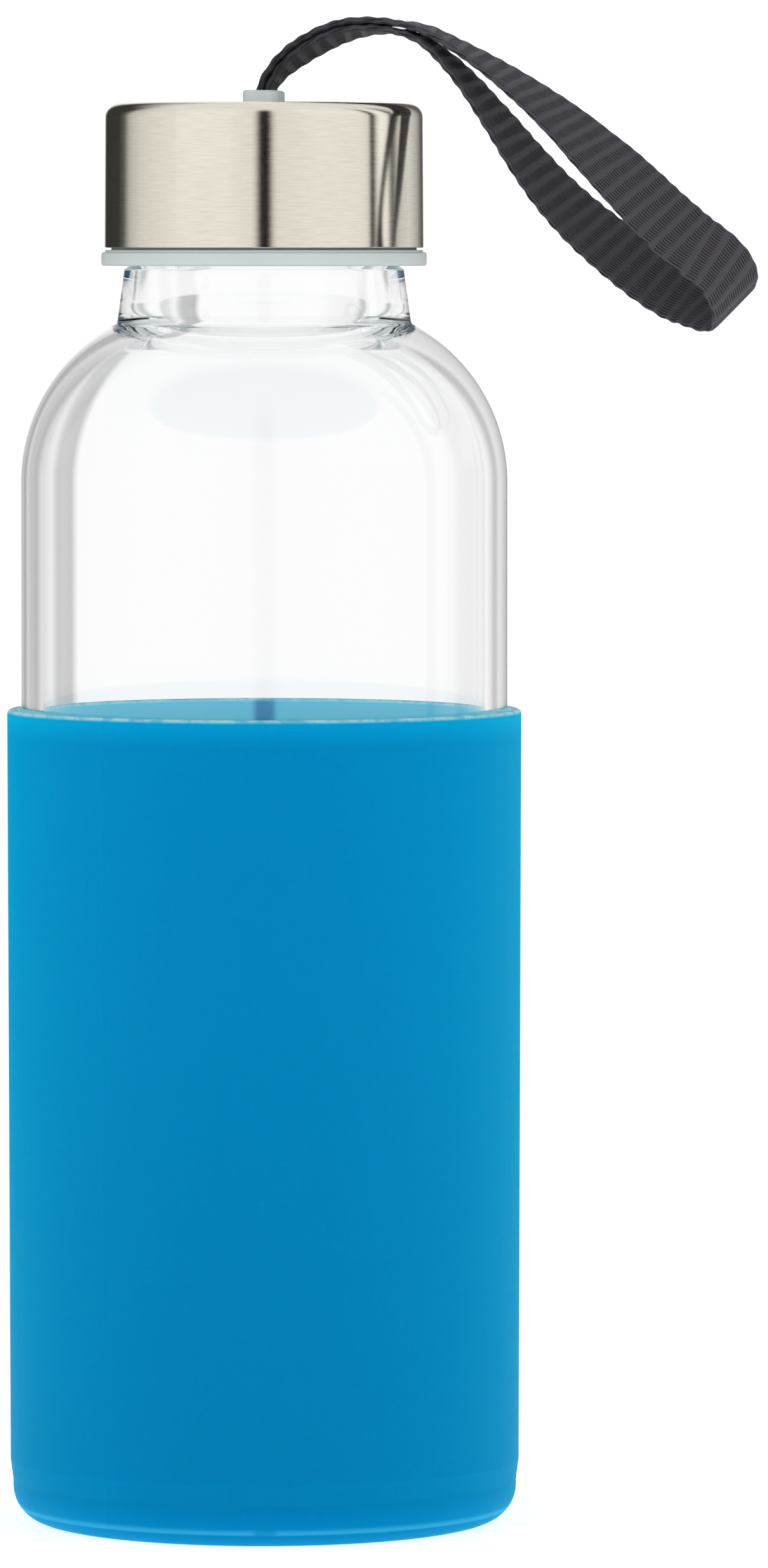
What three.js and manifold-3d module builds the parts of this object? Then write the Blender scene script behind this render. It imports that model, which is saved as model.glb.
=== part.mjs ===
// Glass water bottle with a silicone sleeve, a screw cap and a webbing wrist strap.
// Millimetres, +Z up. The origin is on the bottle's axis, in the plane that it stands on.

import * as THREE from 'three';
import { mergeVertices } from 'three/addons/utils/BufferGeometryUtils.js';
import Module from 'manifold-3d';

const wasm = await Module();
wasm.setup();

// ---- Driving dimensions ----

const ROUND_SIDES = 40; // facets of every turned piece
const FIT = 0.3; // clearance between pieces that touch on the real bottle

// Glass
const GLASS_RADIUS = 32.5;
const GLASS_WALL = 2.9;
const GLASS_BASE_Z = 2.3; // underside of the glass, on the sleeve's floor
const GLASS_FLOOR = 5; // thickness of the glass floor
const BASE_CORNER = 5; // radius of the glass's bottom corner
const PUNT_RADIUS = 21; // hollow under the glass floor
const PUNT_RISE = 1.5;
const SHOULDER_Z = 139; // where the straight wall ends
const SHOULDER_ARC = 24; // outer shoulder radius
const SHOULDER_SWEEP = THREE.MathUtils.degToRad(62);
const NECK_FOOT_RADIUS = 19.6;
const NECK_TOP_RADIUS = 18.65;
const NECK_TOP_Z = 167.4;
const FINISH_RADIUS = 17.3; // root of the glass thread
const RIM_Z = 182;
const BORE_RADIUS = 14.2;
const BORE_FILLET = 5; // rounds the edge where the bore opens into the shoulder

// Thread, shared by the neck and the inner cap
const PITCH = 3;
const THREAD_TURNS = 1.5;
const THREAD_START_Z = 172.5;
const THREAD_HEIGHT = 1.3;
const THREAD_FOOT = 1.7; // axial width at the root
const THREAD_CREST = 0.7; // axial width at the crest
const THREAD_STEPS_PER_TURN = 20;

// Silicone sleeve
const SLEEVE_TOP_Z = 108.8;
const SLEEVE_TOP_RADIUS = 34.35;
const SLEEVE_LOW_RADIUS = 34.07;
const SLEEVE_FOOT_RADIUS = 33.7; // below the small step near the bottom
const SLEEVE_STEP_Z = [5.4, 8.6];
const SLEEVE_CORNER = 4.8;
const SLEEVE_FLOOR_Z = GLASS_BASE_Z - FIT;
const SLEEVE_BORE = GLASS_RADIUS + FIT;
const SLEEVE_RIM_ROUND = 0.6;

// Inner cap
const FLANGE_Z = 167.9;
const FLANGE_TOP_Z = 169.7;
const FLANGE_RADIUS = 21.7;
const STEP_RADIUS = 21.2;
const STEP_TOP_Z = 170;
const CAP_BORE = 19;
const CAP_SKIRT_RADIUS = 20.35;
const CAP_ROOF_Z = 183.8; // underside of the inner cap's roof
const CAP_TOP_Z = 185.2;

// Steel shell
const SHELL_Z = STEP_TOP_Z + FIT;
const SHELL_TOP_Z = 189.5;
const SHELL_FOOT_RADIUS = 21.27;
const SHELL_TOP_RADIUS = 21.15;
const SHELL_WALL = 0.5;
const SHELL_CORNER = 1.9;

// Gasket
const GASKET_Z = [182.3, 183.5];
const GASKET_RADII = [12.5, 18.2];

// Strap collar: a plate under the shell's top and a neck that stands out of it
const COLLAR_TURN = THREE.MathUtils.degToRad(-5.5); // about Z, with the slot and the webbing in it
const COLLAR_PLATE = [9, 17];
const COLLAR_PLATE_Z = [187.4, 188.7];
const COLLAR_NECK = [4.7, 13.4];
const COLLAR_ROUND = 2.2; // radius of the neck's ends, seen from above
const COLLAR_TOP_Z = 191.2;
const COLLAR_EDGE = 0.4; // chamfer round the top of the neck
const SLOT = [2.6, 10.8];
const STRAP_X = 0.2; // the slot and the strap sit a little off the axis

// Strap
const STRAP_WIDTH = 10;
const STRAP_THICKNESS = 0.9;
const STRAP_EDGE = 0.3; // how far the selvage is rounded
const STRAP_ROUTE = [
  [STRAP_X, 0, 186.6],
  [STRAP_X, 0, 188.8],
  [0.25, 0, 190.8],
  [0.9, 0, 192.5],
  [2.5, 0, 194.5],
  [5.6, 0, 196.8],
  [9.9, 0, 198.9],
  [13.9, 0, 199.7],
  [17.7, 0, 199.6],
  [21.6, 0, 198.5],
  [25, -0.4, 196.3],
  [28.6, -1.1, 193.4],
  [33.1, -2.1, 189.1],
  [37.5, -3.4, 184.5],
  [41.5, -4.7, 180.2],
  [45.6, -6, 176.2],
  [50.1, -7.2, 172.1],
  [54.5, -8.1, 168.6],
  [58.8, -8.7, 165.8],
  [62.1, -8.9, 162.6],
]; // the line midway between the two legs, from the collar to the end of the loop
const LOOP_START = 22; // distance along that line where the two legs part
const LEG_OFFSET = 0.52; // from the mid-line to each leg where they lie together
const LOOP_OFFSET = 5.9; // and where the loop is widest
const PARTING = [24, 67]; // the legs move apart between these distances
const BEND_LENGTH = 10; // the loop's closed end
const LOOP_TWIST = THREE.MathUtils.degToRad(58);
const UPPER_TWIST_RANGE = [17, 77];
const LOWER_TWIST_RANGE = [15, 83];
const ROOT_TWIST = THREE.MathUtils.degToRad(-5.5); // where the arch rises, on top of the collar's turn
const ROOT_TWIST_IN = [5, 12];
const ROOT_TWIST_OUT = [14, 23];
const COLLAR_TURN_OUT = [18, 30]; // the webbing loses the collar's turn between these distances
const LEG_SHARE = 0.4; // share of the loop's length that each leg takes
const LOOP_STEPS = 50;
const ROOT_STEPS = 12;
const HINGE_RADIUS = 1.2; // rounded start of the loop, about the line that it is raised about
const HINGE_GAP = 0.7; // room between it and the root
const STOP = [8, 10.4]; // folded tails under the collar
const STOP_Z = [185.6, 187];

// ---- Shape helpers ----

const UP = new THREE.Vector3(0, 0, 1);

function point(radius, z) {
  return new THREE.Vector2(radius, z);
}

// Points on an arc, both ends included; angles in radians from the outward direction.
function arc(centreRadius, centreZ, radius, from, to, steps) {
  const points = [];
  for (let i = 0; i <= steps; i++) {
    const angle = THREE.MathUtils.lerp(from, to, i / steps);
    points.push(point(centreRadius + radius * Math.cos(angle), centreZ + radius * Math.sin(angle)));
  }
  return points;
}

// A solid turned about Z. The outline runs anticlockwise with radius to the right and z up.
function turned(outline) {
  const geometry = new THREE.LatheGeometry(outline, ROUND_SIDES);
  geometry.rotateX(Math.PI / 2);
  return toSolid(geometry);
}

// A ring: the same, with an outline that closes on itself.
function ring(outline) {
  return turned([...outline, outline[0].clone()]);
}

function roundedRectangle(width, depth, corner) {
  const x = width / 2;
  const y = depth / 2;
  const shape = new THREE.Shape();
  shape.moveTo(x, -y + corner);
  shape.lineTo(x, y - corner);
  shape.absarc(x - corner, y - corner, corner, 0, Math.PI / 2);
  shape.lineTo(-x + corner, y);
  shape.absarc(-x + corner, y - corner, corner, Math.PI / 2, Math.PI);
  shape.lineTo(-x, -y + corner);
  shape.absarc(-x + corner, -y + corner, corner, Math.PI, 1.5 * Math.PI);
  shape.lineTo(x - corner, -y);
  shape.absarc(x - corner, -y + corner, corner, 1.5 * Math.PI, 2 * Math.PI);
  return shape;
}

// An upright block from z0 to z1. A bevel, if any, is taken off inside its height.
function block(shape, z0, z1, bevel = 0) {
  const geometry = new THREE.ExtrudeGeometry(shape, {
    depth: z1 - z0 - 2 * bevel,
    curveSegments: 5,
    bevelEnabled: bevel > 0,
    bevelThickness: bevel,
    bevelSize: bevel,
    bevelOffset: -bevel,
    bevelSegments: 2,
  });
  geometry.translate(0, 0, z0 + bevel);
  return geometry;
}

// Extrudes a section in steps and lays each step where place(share) says:
// { origin, across, over } with the section's x along across and its y along over.
function swept(section, steps, place) {
  const geometry = new THREE.ExtrudeGeometry(section, { depth: 1, steps, bevelEnabled: false });
  const position = geometry.attributes.position;
  for (let i = 0; i < position.count; i++) {
    const share = Math.round(position.getZ(i) * steps) / steps;
    const at = place(share);
    const x = position.getX(i);
    const y = position.getY(i);
    const moved = at.origin.clone().addScaledVector(at.across, x).addScaledVector(at.over, y);
    position.setXYZ(i, moved.x, moved.y, moved.z);
  }
  return geometry;
}

// ---- Joining and cutting ----

function toSolid(geometry) {
  const bare = geometry.clone();
  bare.deleteAttribute('normal');
  bare.deleteAttribute('uv');
  const merged = mergeVertices(bare, 1e-4);
  const corners = merged.index.array;
  const faces = [];
  for (let i = 0; i < corners.length; i += 3) {
    const [a, b, c] = [corners[i], corners[i + 1], corners[i + 2]];
    if (a !== b && b !== c && c !== a) {
      faces.push(a, b, c);
    }
  }
  const vertProperties = new Float32Array(merged.attributes.position.array);
  const triVerts = new Uint32Array(faces);
  return new wasm.Manifold(new wasm.Mesh({ numProp: 3, vertProperties, triVerts }));
}

function toGeometry(solid) {
  const mesh = solid.getMesh();
  const geometry = new THREE.BufferGeometry();
  geometry.setAttribute('position', new THREE.BufferAttribute(mesh.vertProperties, 3));
  geometry.setIndex(new THREE.BufferAttribute(mesh.triVerts, 1));
  geometry.computeVertexNormals();
  return geometry;
}

// ---- Thread ----

// A right-hand ridge that fades into the wall at both ends. side is 1 outside a neck, -1 inside a cap.
function threadRidge(wallRadius, startZ, turns, side) {
  const root = 0.4; // how far the ridge's foot is sunk in the wall
  const section = new THREE.Shape();
  section.moveTo(-root, -THREAD_FOOT / 2);
  section.lineTo(0, -THREAD_FOOT / 2);
  section.lineTo(THREAD_HEIGHT, -THREAD_CREST / 2);
  section.lineTo(THREAD_HEIGHT, THREAD_CREST / 2);
  section.lineTo(0, THREAD_FOOT / 2);
  section.lineTo(-root, THREAD_FOOT / 2);
  section.closePath();
  const fade = 0.12; // share of the ridge over which each end rises
  const steps = Math.round(turns * THREAD_STEPS_PER_TURN);
  return toSolid(swept(section, steps, (share) => {
    const angle = share * turns * 2 * Math.PI;
    const outward = new THREE.Vector3(Math.cos(angle), Math.sin(angle), 0);
    const rise = Math.max(0.05, Math.min(1, share / fade, (1 - share) / fade));
    const sunk = (1 - rise) * root / 2;
    const origin = outward.clone().multiplyScalar(wallRadius - side * sunk);
    origin.z = startZ + share * turns * PITCH;
    return {
      origin,
      across: outward.clone().multiplyScalar(side * rise),
      over: UP.clone().multiplyScalar(-side),
    };
  }));
}

// ---- Turned pieces ----

function glassBottle() {
  const outerShoulder = [GLASS_RADIUS - SHOULDER_ARC, SHOULDER_Z];
  const inner = GLASS_RADIUS - GLASS_WALL;
  const floorZ = GLASS_BASE_Z + GLASS_FLOOR;
  const floorCorner = 6;
  const innerArc = SHOULDER_ARC - GLASS_WALL;
  const filletRadius = BORE_RADIUS + BORE_FILLET;
  const innerSweep = Math.acos((filletRadius - outerShoulder[0]) / (innerArc + BORE_FILLET));
  const filletZ = SHOULDER_Z + (innerArc + BORE_FILLET) * Math.sin(innerSweep);
  const rimRound = 0.8;
  const outline = [
    point(0, GLASS_BASE_Z + PUNT_RISE),
    point(PUNT_RADIUS / 2, GLASS_BASE_Z + PUNT_RISE * 0.75),
    point(PUNT_RADIUS, GLASS_BASE_Z),
    ...arc(GLASS_RADIUS - BASE_CORNER, GLASS_BASE_Z + BASE_CORNER, BASE_CORNER, -Math.PI / 2, 0, 6),
    ...arc(...outerShoulder, SHOULDER_ARC, 0, SHOULDER_SWEEP, 10),
    point(NECK_FOOT_RADIUS, SHOULDER_Z + SHOULDER_ARC * Math.sin(SHOULDER_SWEEP) + 0.3),
    point(NECK_TOP_RADIUS, NECK_TOP_Z),
    point(FINISH_RADIUS, NECK_TOP_Z + 1),
    ...arc(FINISH_RADIUS - rimRound, RIM_Z - rimRound, rimRound, 0, Math.PI / 2, 3),
    ...arc(BORE_RADIUS + rimRound, RIM_Z - rimRound, rimRound, Math.PI / 2, Math.PI, 3),
    ...arc(filletRadius, filletZ, BORE_FILLET, Math.PI, Math.PI + innerSweep, 5),
    ...arc(...outerShoulder, innerArc, innerSweep, 0, 10).slice(1),
    ...arc(inner - floorCorner, floorZ + floorCorner, floorCorner, 0, -Math.PI / 2, 6),
    point(0, floorZ),
  ];
  return turned(outline).add(threadRidge(FINISH_RADIUS, THREAD_START_Z, THREAD_TURNS, 1));
}

function siliconeSleeve() {
  const innerCorner = BASE_CORNER + FIT;
  const footCentre = SLEEVE_FOOT_RADIUS - SLEEVE_CORNER;
  return turned([
    point(0, 0),
    ...arc(footCentre, SLEEVE_CORNER, SLEEVE_CORNER, -Math.PI / 2, 0, 6),
    point(SLEEVE_FOOT_RADIUS, SLEEVE_STEP_Z[0]),
    point(SLEEVE_LOW_RADIUS, SLEEVE_STEP_Z[1]),
    ...arc(SLEEVE_TOP_RADIUS - SLEEVE_RIM_ROUND, SLEEVE_TOP_Z - SLEEVE_RIM_ROUND, SLEEVE_RIM_ROUND,
      0, Math.PI / 2, 3),
    ...arc(SLEEVE_BORE + SLEEVE_RIM_ROUND, SLEEVE_TOP_Z - SLEEVE_RIM_ROUND, SLEEVE_RIM_ROUND,
      Math.PI / 2, Math.PI, 3),
    ...arc(SLEEVE_BORE - innerCorner, SLEEVE_FLOOR_Z + innerCorner, innerCorner, 0, -Math.PI / 2, 6),
    point(0, SLEEVE_FLOOR_Z),
  ]);
}

function innerCap() {
  const edge = 0.3;
  const topCorner = 0.8;
  const leadIn = 0.5;
  const body = turned([
    point(0, CAP_ROOF_Z),
    point(CAP_BORE, CAP_ROOF_Z),
    point(CAP_BORE, FLANGE_Z + 2 * leadIn),
    point(CAP_BORE + leadIn, FLANGE_Z),
    ...arc(FLANGE_RADIUS - edge, FLANGE_Z + edge, edge, -Math.PI / 2, 0, 2),
    ...arc(FLANGE_RADIUS - edge, FLANGE_TOP_Z - edge, edge, 0, Math.PI / 2, 2),
    point(STEP_RADIUS, FLANGE_TOP_Z),
    point(STEP_RADIUS, STEP_TOP_Z),
    point(CAP_SKIRT_RADIUS, STEP_TOP_Z),
    ...arc(CAP_SKIRT_RADIUS - topCorner, CAP_TOP_Z - topCorner, topCorner, 0, Math.PI / 2, 3),
    point(0, CAP_TOP_Z),
  ]);
  const ridgeZ = THREAD_START_Z - PITCH / 2;
  return body.add(threadRidge(CAP_BORE, ridgeZ, THREAD_TURNS + 0.5, -1));
}

function capShell() {
  const inside = SHELL_TOP_RADIUS - SHELL_WALL;
  const innerCorner = SHELL_CORNER - SHELL_WALL;
  const body = turned([
    point(0, SHELL_TOP_Z - SHELL_WALL),
    ...arc(inside - innerCorner, SHELL_TOP_Z - SHELL_CORNER, innerCorner, Math.PI / 2, 0, 4),
    point(SHELL_FOOT_RADIUS - SHELL_WALL, SHELL_Z),
    point(SHELL_FOOT_RADIUS, SHELL_Z),
    ...arc(SHELL_TOP_RADIUS - SHELL_CORNER, SHELL_TOP_Z - SHELL_CORNER, SHELL_CORNER, 0, Math.PI / 2, 6),
    point(0, SHELL_TOP_Z),
  ]);
  const hole = roundedRectangle(COLLAR_NECK[0] + 2 * FIT, COLLAR_NECK[1] + 2 * FIT, COLLAR_ROUND + FIT);
  return body.subtract(collarBlock(hole, [SHELL_TOP_Z - 2, SHELL_TOP_Z + 1]));
}

function capGasket() {
  const [z0, z1] = GASKET_Z;
  const [r0, r1] = GASKET_RADII;
  const edge = 0.2;
  return ring([
    point(r0 + edge, z0),
    point(r1 - edge, z0),
    point(r1, z0 + edge),
    point(r1, z1 - edge),
    point(r1 - edge, z1),
    point(r0 + edge, z1),
    point(r0, z1 - edge),
    point(r0, z0 + edge),
  ]);
}

// ---- Strap and its collar ----

// A solid block that is turned with the collar, x off its middle.
function collarBlock(shape, [z0, z1], x = 0, bevel = 0) {
  const geometry = block(shape, z0, z1, bevel);
  geometry.translate(x, 0, 0);
  geometry.rotateZ(COLLAR_TURN);
  return toSolid(geometry);
}

function strapCollar() {
  const plate = collarBlock(roundedRectangle(...COLLAR_PLATE, 2), COLLAR_PLATE_Z);
  const neckZ = [COLLAR_PLATE_Z[0] + 0.1, COLLAR_TOP_Z];
  const neck = collarBlock(roundedRectangle(...COLLAR_NECK, COLLAR_ROUND), neckZ, 0, COLLAR_EDGE);
  const slotZ = [COLLAR_PLATE_Z[0] - 1, COLLAR_TOP_Z + 1];
  const slot = collarBlock(roundedRectangle(...SLOT, 0.6), slotZ, STRAP_X);
  return plate.add(neck).subtract(slot);
}

const midline = new THREE.CatmullRomCurve3(
  STRAP_ROUTE.map((stop) => new THREE.Vector3(...stop)), false, 'centripetal');
const midLength = midline.getLength();
const bendStart = midLength - BEND_LENGTH;

function ramp(value, [from, to]) {
  return THREE.MathUtils.smoothstep(value, from, to);
}

// The mid-line at a distance along it. outward points out of the arch and sideways to its far side.
function midFrame(distance) {
  const share = THREE.MathUtils.clamp(distance / midLength, 0, 1);
  const along = midline.getTangentAt(share);
  const outward = new THREE.Vector3(-along.z, 0, along.x).normalize();
  return {
    centre: midline.getPointAt(share),
    outward,
    sideways: new THREE.Vector3().crossVectors(outward, along),
  };
}

// How far the webbing has turned from lying square to the arch's plane.
// below is 0 on the upper leg and 1 on the lower one.
function twistAt(distance, below) {
  const collar = COLLAR_TURN * (1 - ramp(distance, COLLAR_TURN_OUT));
  const root = ROOT_TWIST * (ramp(distance, ROOT_TWIST_IN) - ramp(distance, ROOT_TWIST_OUT));
  const upper = ramp(distance, UPPER_TWIST_RANGE);
  const lower = ramp(distance, LOWER_TWIST_RANGE);
  return collar + root + LOOP_TWIST * THREE.MathUtils.lerp(upper, lower, below);
}

function widthDirection({ outward, sideways }, twist) {
  return outward.clone().multiplyScalar(Math.sin(twist)).addScaledVector(sideways, Math.cos(twist));
}

function faceDirection({ outward, sideways }, twist) {
  return outward.clone().multiplyScalar(Math.cos(twist)).addScaledVector(sideways, -Math.sin(twist));
}

// Where the loop's centre is at a share of its way: out on the upper leg, round the end, and back.
function loopState(share) {
  let distance;
  let turn;
  if (share < LEG_SHARE) {
    distance = THREE.MathUtils.lerp(LOOP_START, bendStart, share / LEG_SHARE);
    turn = 0;
  } else if (share > 1 - LEG_SHARE) {
    distance = THREE.MathUtils.lerp(LOOP_START, bendStart, (1 - share) / LEG_SHARE);
    turn = Math.PI;
  } else {
    turn = Math.PI * (share - LEG_SHARE) / (1 - 2 * LEG_SHARE);
    distance = bendStart + BEND_LENGTH * Math.sin(turn);
  }
  const frame = midFrame(distance);
  const below = (1 - Math.cos(turn)) / 2;
  const apart = THREE.MathUtils.lerp(LEG_OFFSET, LOOP_OFFSET, ramp(distance, PARTING));
  const face = faceDirection(frame, twistAt(distance, 0.5));
  return {
    centre: frame.centre.addScaledVector(face, apart * Math.cos(turn)),
    width: widthDirection(frame, twistAt(distance, below)),
  };
}

function placeOnLoop(share) {
  const here = loopState(share);
  const step = 1e-3;
  const ahead = loopState(Math.min(1, share + step)).centre;
  const behind = loopState(Math.max(0, share - step)).centre;
  const along = ahead.sub(behind).normalize();
  const over = new THREE.Vector3().crossVectors(along, here.width).normalize();
  const across = new THREE.Vector3().crossVectors(over, along);
  return { origin: here.centre, across, over };
}

function webbingSection(thickness) {
  const x = STRAP_WIDTH / 2;
  const y = thickness / 2;
  const section = new THREE.Shape();
  section.moveTo(x - STRAP_EDGE, -y);
  section.lineTo(x, -y + STRAP_EDGE);
  section.lineTo(x, y - STRAP_EDGE);
  section.lineTo(x - STRAP_EDGE, y);
  section.lineTo(-x + STRAP_EDGE, y);
  section.lineTo(-x, y - STRAP_EDGE);
  section.lineTo(-x, -y + STRAP_EDGE);
  section.lineTo(-x + STRAP_EDGE, -y);
  section.closePath();
  return section;
}

// The loop, with a rounded start that joins its two legs.
function wristStrap() {
  const loop = toSolid(swept(webbingSection(STRAP_THICKNESS), LOOP_STEPS, placeOnLoop));
  const frame = midFrame(LOOP_START);
  const width = widthDirection(frame, twistAt(LOOP_START, 0.5));
  const knuckle = new THREE.CylinderGeometry(HINGE_RADIUS, HINGE_RADIUS, STRAP_WIDTH, 16);
  knuckle.applyQuaternion(new THREE.Quaternion().setFromUnitVectors(new THREE.Vector3(0, 1, 0), width));
  knuckle.translate(...frame.centre);
  return loop.add(toSolid(knuckle));
}

// The doubled webbing from under the collar up to the loop, with its tails folded out as a stop.
function strapRoot() {
  const doubled = 2 * LEG_OFFSET + STRAP_THICKNESS;
  const end = LOOP_START - HINGE_RADIUS - HINGE_GAP;
  const root = toSolid(swept(webbingSection(doubled), ROOT_STEPS, (share) => {
    const frame = midFrame(share * end);
    const twist = twistAt(share * end, 0.5);
    return {
      origin: frame.centre,
      across: widthDirection(frame, twist),
      over: faceDirection(frame, twist),
    };
  }));
  return root.add(collarBlock(roundedRectangle(...STOP, 0.6), STOP_Z, STRAP_X));
}

// ---- Assembly ----

const group = new THREE.Group();
group.name = 'glass_water_bottle';

function addPart(name, solid, colour, roughness, metalness = 0) {
  const material = new THREE.MeshStandardMaterial({ color: colour, roughness, metalness });
  const mesh = new THREE.Mesh(toGeometry(solid), material);
  mesh.name = name;
  group.add(mesh);
}

addPart('silicone_sleeve', siliconeSleeve(), 0x018bc1, 0.55);
addPart('glass_bottle', glassBottle(), 0xeef3f4, 0.04);
addPart('cap_gasket', capGasket(), 0xe6eaea, 0.6);
addPart('inner_cap', innerCap(), 0xcbd8da, 0.45);
addPart('cap_shell', capShell(), 0xd8d2c4, 0.32, 1);
addPart('strap_collar', strapCollar(), 0xbccbcf, 0.45);
addPart('strap_root', strapRoot(), 0x35353b, 0.9);
addPart('wrist_strap', wristStrap(), 0x3b3c42, 0.9);

export default group;
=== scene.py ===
import math

import bpy
import numpy as np
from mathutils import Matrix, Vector


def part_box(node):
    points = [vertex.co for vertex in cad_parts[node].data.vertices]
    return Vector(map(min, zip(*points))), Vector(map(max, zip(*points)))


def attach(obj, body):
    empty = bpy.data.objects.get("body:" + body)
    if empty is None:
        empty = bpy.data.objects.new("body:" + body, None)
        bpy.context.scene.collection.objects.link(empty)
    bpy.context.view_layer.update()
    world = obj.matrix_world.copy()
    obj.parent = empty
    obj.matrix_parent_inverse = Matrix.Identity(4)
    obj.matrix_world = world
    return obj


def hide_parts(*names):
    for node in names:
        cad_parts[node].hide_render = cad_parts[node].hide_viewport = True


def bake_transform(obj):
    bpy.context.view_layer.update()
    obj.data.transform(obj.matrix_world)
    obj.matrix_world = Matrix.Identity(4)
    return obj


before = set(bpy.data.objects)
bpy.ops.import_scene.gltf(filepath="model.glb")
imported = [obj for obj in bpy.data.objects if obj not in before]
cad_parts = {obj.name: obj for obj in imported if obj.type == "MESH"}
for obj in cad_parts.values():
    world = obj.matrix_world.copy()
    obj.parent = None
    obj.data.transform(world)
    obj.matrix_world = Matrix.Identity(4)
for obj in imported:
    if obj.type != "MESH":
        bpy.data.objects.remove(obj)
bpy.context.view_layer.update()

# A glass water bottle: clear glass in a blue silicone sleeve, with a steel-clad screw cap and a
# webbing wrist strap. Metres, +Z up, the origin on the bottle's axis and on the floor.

MM = 0.001
SCENE = bpy.context.scene


# ---- Camera ----

CAMERA_AT = Vector((0, -1.370, 0.1716))
CAMERA_AIM = Vector((0.0160, 0, 0.0987))
CAMERA_LENS = 235.6


def make_camera():
    data = bpy.data.cameras.new("camera")
    data.lens = CAMERA_LENS
    data.clip_end = 50
    camera = bpy.data.objects.new("camera", data)
    camera.location = CAMERA_AT
    camera.rotation_euler = (CAMERA_AIM - CAMERA_AT).to_track_quat("-Z", "Y").to_euler()
    SCENE.collection.objects.link(camera)
    SCENE.camera = camera


make_camera()


# ---- Dimensions, from the frame ----

SLEEVE_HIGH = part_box("silicone_sleeve")[1]
GLASS_LOW, GLASS_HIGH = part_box("glass_bottle")
CAP_LOW, CAP_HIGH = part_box("inner_cap")
SHELL_LOW, SHELL_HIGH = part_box("cap_shell")
GASKET_LOW, GASKET_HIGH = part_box("cap_gasket")
COLLAR_LOW, COLLAR_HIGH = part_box("strap_collar")


# ---- Mesh helpers ----

ROUND = 160  # facets of a turned piece


def add_mesh(name, points, faces, material, smooth=True):
    mesh = bpy.data.meshes.new(name)
    mesh.from_pydata([tuple(p) for p in points], [], faces)
    mesh.polygons.foreach_set("use_smooth", [smooth] * len(mesh.polygons))
    mesh.materials.append(material)
    mesh.update()
    piece = bpy.data.objects.new(name, mesh)
    SCENE.collection.objects.link(piece)
    return piece


def rounded(corners, steps=8):
    """An outline with its corners filleted. A corner is (radius, z) or (radius, z, fillet)."""
    outline = []
    count = len(corners)
    for i, corner in enumerate(corners):
        here = np.array(corner[:2], float)
        fillet = corner[2] if len(corner) > 2 else 0
        if not fillet:
            outline.append(here)
            continue
        before = np.array(corners[i - 1][:2], float) - here
        after = np.array(corners[(i + 1) % count][:2], float) - here
        before /= np.linalg.norm(before)
        after /= np.linalg.norm(after)
        half = math.acos(np.clip(before @ after, -1, 1)) / 2
        middle = (before + after) / np.linalg.norm(before + after)
        centre = here + middle * fillet / math.sin(half)
        first = here + before * fillet / math.tan(half) - centre
        last = here + after * fillet / math.tan(half) - centre
        sweep = math.pi - 2 * half
        for k in range(steps + 1):
            share = k / steps
            a = math.sin((1 - share) * sweep) / math.sin(sweep)
            b = math.sin(share * sweep) / math.sin(sweep)
            outline.append(centre + first * a + last * b)
    return outline


def arc(centre, radius, start, end, steps):
    """Points on an arc, both ends included; angles in degrees from the outward direction."""
    angles = np.radians(np.linspace(start, end, steps + 1))
    return [np.array((centre[0] + radius * math.cos(a), centre[1] + radius * math.sin(a))) for a in angles]


def line(start, end, steps):
    """Points along a straight wall, without its ends."""
    start, end = np.array(start, float), np.array(end, float)
    return [start + (end - start) * k / steps for k in range(1, steps)]


def even_angles(count=ROUND):
    return np.arange(count) * 2 * math.pi / count


def circle(radius, z, angles):
    return np.stack([radius * np.cos(angles), radius * np.sin(angles), np.full(len(angles), z)], axis=1)


def loft(name, rings, material, closed=True):
    """A skin over rings of points, all with as many points, the last one joined to the first when
    closed. A ring with no width is one point."""
    points, starts, faces = [], [], []
    for ring in rings:
        starts.append(len(points))
        flat = np.ptp(ring, axis=0).max() < 1e-7
        points.extend(ring[:1] if flat else ring)
    starts.append(len(points))
    sizes = [starts[i + 1] - starts[i] for i in range(len(rings))]
    around = max(sizes)
    pairs = [(i, i + 1) for i in range(len(rings) - 1)]
    if closed:
        pairs.append((len(rings) - 1, 0))
    for low, high in pairs:
        a, b = starts[low], starts[high]
        for k in range(around):
            n = (k + 1) % around
            if sizes[low] == 1 and sizes[high] == 1:
                break
            if sizes[low] == 1:
                faces.append((a, b + n, b + k))
            elif sizes[high] == 1:
                faces.append((a + k, a + n, b))
            else:
                faces.append((a + k, a + n, b + n, b + k))
    return add_mesh(name, points, faces, material)


def turned(name, outline, material, relief=None, angles=None):
    """A piece turned about Z from an outline that runs anticlockwise, radius to the right and z up.
    relief(angles, radius, z) pushes the surface out."""
    angles = even_angles() if angles is None else angles
    closed = not (outline[0][0] < 1e-7 and outline[-1][0] < 1e-7)
    rings = []
    for radius, z in outline:
        out = radius if relief is None or radius < 1e-7 else radius + relief(angles, radius, z)
        rings.append(circle(out, z, angles))
    return loft(name, rings, material, closed)


# ---- Node helpers ----


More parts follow.
